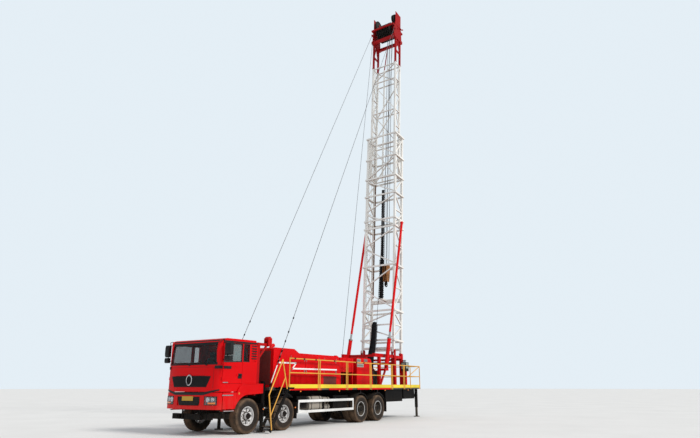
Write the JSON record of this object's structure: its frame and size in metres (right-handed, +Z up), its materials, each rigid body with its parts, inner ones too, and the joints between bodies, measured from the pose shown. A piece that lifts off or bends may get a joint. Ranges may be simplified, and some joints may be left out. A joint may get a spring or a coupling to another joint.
{
  "type": "truck-mounted workover rig",
  "caption": "Well workover rig on an eight-wheel lorry: a folding, telescoping lattice mast over a deck with its power housing, drawworks, rails and jacks.",
  "frame": {"origin": "on the ground below the middle of the rig's length and width", "axes": "+X towards the cab, +Y to the carrier's left, +Z up"},
  "size_m": [14.2803, 3.5486, 24.0998],
  "materials": {
    "red_paint": "gloss red paint with dust and worn edges",
    "white_paint": "white paint, chalky, with rust runs",
    "black_steel": "black chassis paint, dusty",
    "cast_steel": "dark cast steel with road dirt",
    "deck_steel": "worn chequer plate",
    "yellow_paint": "ochre yellow paint",
    "bare_steel": "worn bright steel",
    "tank_paint": "grey-beige paint, dusty",
    "rim_paint": "light grey paint with mud",
    "tyre_rubber": "black tread rubber with dried mud",
    "hose_rubber": "black ribbed hose",
    "wire_rope": "greased wire rope",
    "block_paint": "orange paint, greasy",
    "black_plastic": "black moulded plastic",
    "seat_fabric": "dark grey cloth and trim",
    "lamp_glass": "clear lamp lens",
    "glass": "lightly tinted glass"
  },
  "bodies": {
    "carrier": {"chassis": "black_steel", "axles": "cast_steel", "cab_shell": "red_paint", "cab_glass": "glass", "cab_interior": "seat_fabric", "cab_trim": "black_plastic", "bumper": "red_paint", "headlamps": "lamp_glass", "steps_and_fenders": "red_paint", "mudguards": "black_plastic", "deck": "deck_steel", "power_housing": "red_paint", "deck_cabinets": "red_paint", "drawworks": "cast_steel", "mast_supports": "red_paint", "hand_rails": "yellow_paint", "ladders": "black_steel", "side_guards": "white_paint", "tanks": "tank_paint", "stays": "wire_rope", "hose_bundle": "hose_rubber"},
    "mast_lower": {"lower_mast": "white_paint", "travelling_block": "block_paint", "drill_lines": "wire_rope", "cable_chain": "hose_rubber"},
    "mast_upper": {"upper_mast": "white_paint", "crown": "red_paint", "sheaves": "bare_steel"},
    "cylinder_base_left": {"cylinder_base_left": "red_paint"},
    "cylinder_tube_left": {"cylinder_tube_left": "red_paint"},
    "jack_front_left": {"jack_front_left": "bare_steel"},
    "jack_rear_left": {"jack_rear_left": "bare_steel"},
    "door_left": {"door_left": "red_paint", "door_glass_left": "glass"},
    "knuckle_left_1": {"knuckle_left_1": "cast_steel"},
    "knuckle_left_2": {"knuckle_left_2": "cast_steel"},
    "wheel_left_1": {"rim_left_1": "rim_paint", "tyre_left_1": "tyre_rubber"},
    "wheel_left_2": {"rim_left_2": "rim_paint", "tyre_left_2": "tyre_rubber"},
    "wheel_left_3": {"rim_left_3": "rim_paint", "tyre_left_3": "tyre_rubber"},
    "wheel_left_4": {"rim_left_4": "rim_paint", "tyre_left_4": "tyre_rubber"},
    "cylinder_base_right": {"cylinder_base_right": "red_paint"},
    "cylinder_tube_right": {"cylinder_tube_right": "red_paint"},
    "jack_front_right": {"jack_front_right": "bare_steel"},
    "jack_rear_right": {"jack_rear_right": "bare_steel"},
    "door_right": {"door_right": "red_paint", "door_glass_right": "glass"},
    "knuckle_right_1": {"knuckle_right_1": "cast_steel"},
    "knuckle_right_2": {"knuckle_right_2": "cast_steel"},
    "wheel_right_1": {"rim_right_1": "rim_paint", "tyre_right_1": "tyre_rubber"},
    "wheel_right_2": {"rim_right_2": "rim_paint", "tyre_right_2": "tyre_rubber"},
    "wheel_right_3": {"rim_right_3": "rim_paint", "tyre_right_3": "tyre_rubber"},
    "wheel_right_4": {"rim_right_4": "rim_paint", "tyre_right_4": "tyre_rubber"}
  },
  "joints": [
    {"name": "raise", "type": "hinge", "parent": "carrier", "child": "mast_lower", "pos_m": [-4.89, 0, 3.15], "axis": [0, 1, 0], "range_deg": [0, 93.2], "deforming": ["stays", "hose_bundle"]},
    {"name": "scope", "type": "slide", "parent": "mast_lower", "child": "mast_upper", "axis": [-0.0663, 0, 0.9978], "range_m": [-6, 0], "deforming": ["drill_lines"]},
    {"name": "cylinder_swing_left", "type": "hinge", "parent": "carrier", "child": "cylinder_base_left", "pos_m": [-3.74, 1.12, 2.4], "axis": [0, 1, 0], "range_deg": [0, 93.07]},
    {"name": "cylinder_stroke_left", "type": "slide", "parent": "cylinder_base_left", "child": "cylinder_tube_left", "axis": [-0.2545, 0, 0.9671], "range_m": [-1.9985, 0]},
    {"name": "cylinder_swing_right", "type": "hinge", "parent": "carrier", "child": "cylinder_base_right", "pos_m": [-3.74, -1.12, 2.4], "axis": [0, 1, 0], "range_deg": [0, 93.07]},
    {"name": "cylinder_stroke_right", "type": "slide", "parent": "cylinder_base_right", "child": "cylinder_tube_right", "axis": [-0.2545, 0, 0.9671], "range_m": [-1.9985, 0]},
    {"name": "steer_left_1", "type": "hinge", "parent": "carrier", "child": "knuckle_left_1", "pos_m": [5.6, 0.915, 0.55], "axis": [0, 0, 1], "range_deg": [-30, 30]},
    {"name": "steer_left_2", "type": "hinge", "parent": "carrier", "child": "knuckle_left_2", "pos_m": [3.78, 0.915, 0.55], "axis": [0, 0, 1], "range_deg": [-21, 21]},
    {"name": "roll_left_1", "type": "hinge", "parent": "knuckle_left_1", "child": "wheel_left_1", "pos_m": [5.6, 0, 0.55], "axis": [0, 1, 0], "continuous": true},
    {"name": "roll_left_2", "type": "hinge", "parent": "knuckle_left_2", "child": "wheel_left_2", "pos_m": [3.78, 0, 0.55], "axis": [0, 1, 0], "continuous": true},
    {"name": "roll_left_3", "type": "hinge", "parent": "carrier", "child": "wheel_left_3", "pos_m": [-1.32, 0, 0.55], "axis": [0, 1, 0], "continuous": true},
    {"name": "roll_left_4", "type": "hinge", "parent": "carrier", "child": "wheel_left_4", "pos_m": [-2.74, 0, 0.55], "axis": [0, 1, 0], "continuous": true},
    {"name": "door_swing_left", "type": "hinge", "parent": "carrier", "child": "door_left", "pos_m": [6.804, 1.233, 2], "axis": [0, 0, -1], "range_deg": [0, 70]},
    {"name": "jack_lift_front_left", "type": "slide", "parent": "carrier", "child": "jack_front_left", "axis": [0, 0, 1], "range_m": [0, 0.35]},
    {"name": "jack_lift_rear_left", "type": "slide", "parent": "carrier", "child": "jack_rear_left", "axis": [0, 0, 1], "range_m": [0, 0.35]},
    {"name": "steer_right_1", "type": "hinge", "parent": "carrier", "child": "knuckle_right_1", "pos_m": [5.6, -0.915, 0.55], "axis": [0, 0, 1], "range_deg": [-30, 30]},
    {"name": "steer_right_2", "type": "hinge", "parent": "carrier", "child": "knuckle_right_2", "pos_m": [3.78, -0.915, 0.55], "axis": [0, 0, 1], "range_deg": [-21, 21]},
    {"name": "roll_right_1", "type": "hinge", "parent": "knuckle_right_1", "child": "wheel_right_1", "pos_m": [5.6, 0, 0.55], "axis": [0, 1, 0], "continuous": true},
    {"name": "roll_right_2", "type": "hinge", "parent": "knuckle_right_2", "child": "wheel_right_2", "pos_m": [3.78, 0, 0.55], "axis": [0, 1, 0], "continuous": true},
    {"name": "roll_right_3", "type": "hinge", "parent": "carrier", "child": "wheel_right_3", "pos_m": [-1.32, 0, 0.55], "axis": [0, 1, 0], "continuous": true},
    {"name": "roll_right_4", "type": "hinge", "parent": "carrier", "child": "wheel_right_4", "pos_m": [-2.74, 0, 0.55], "axis": [0, 1, 0], "continuous": true},
    {"name": "door_swing_right", "type": "hinge", "parent": "carrier", "child": "door_right", "pos_m": [6.804, -1.233, 2], "axis": [0, 0, 1], "range_deg": [0, 70]},
    {"name": "jack_lift_front_right", "type": "slide", "parent": "carrier", "child": "jack_front_right", "axis": [0, 0, 1], "range_m": [0, 0.35]},
    {"name": "jack_lift_rear_right", "type": "slide", "parent": "carrier", "child": "jack_rear_right", "axis": [0, 0, 1], "range_m": [0, 0.35]}
  ],
  "couplings": [
    {"joint": "cylinder_swing_left", "follows": "raise", "ratio": 0.9954},
    {"joint": "cylinder_stroke_left", "follows": "raise", "m_per_rad": -1.2261},
    {"joint": "cylinder_swing_right", "follows": "raise", "ratio": 0.9954},
    {"joint": "cylinder_stroke_right", "follows": "raise", "m_per_rad": -1.2261},
    {"joint": "steer_left_2", "follows": "steer_left_1", "ratio": 0.7},
    {"joint": "steer_right_1", "follows": "steer_left_1", "ratio": 1},
    {"joint": "steer_right_2", "follows": "steer_left_1", "ratio": 0.7}
  ]
}
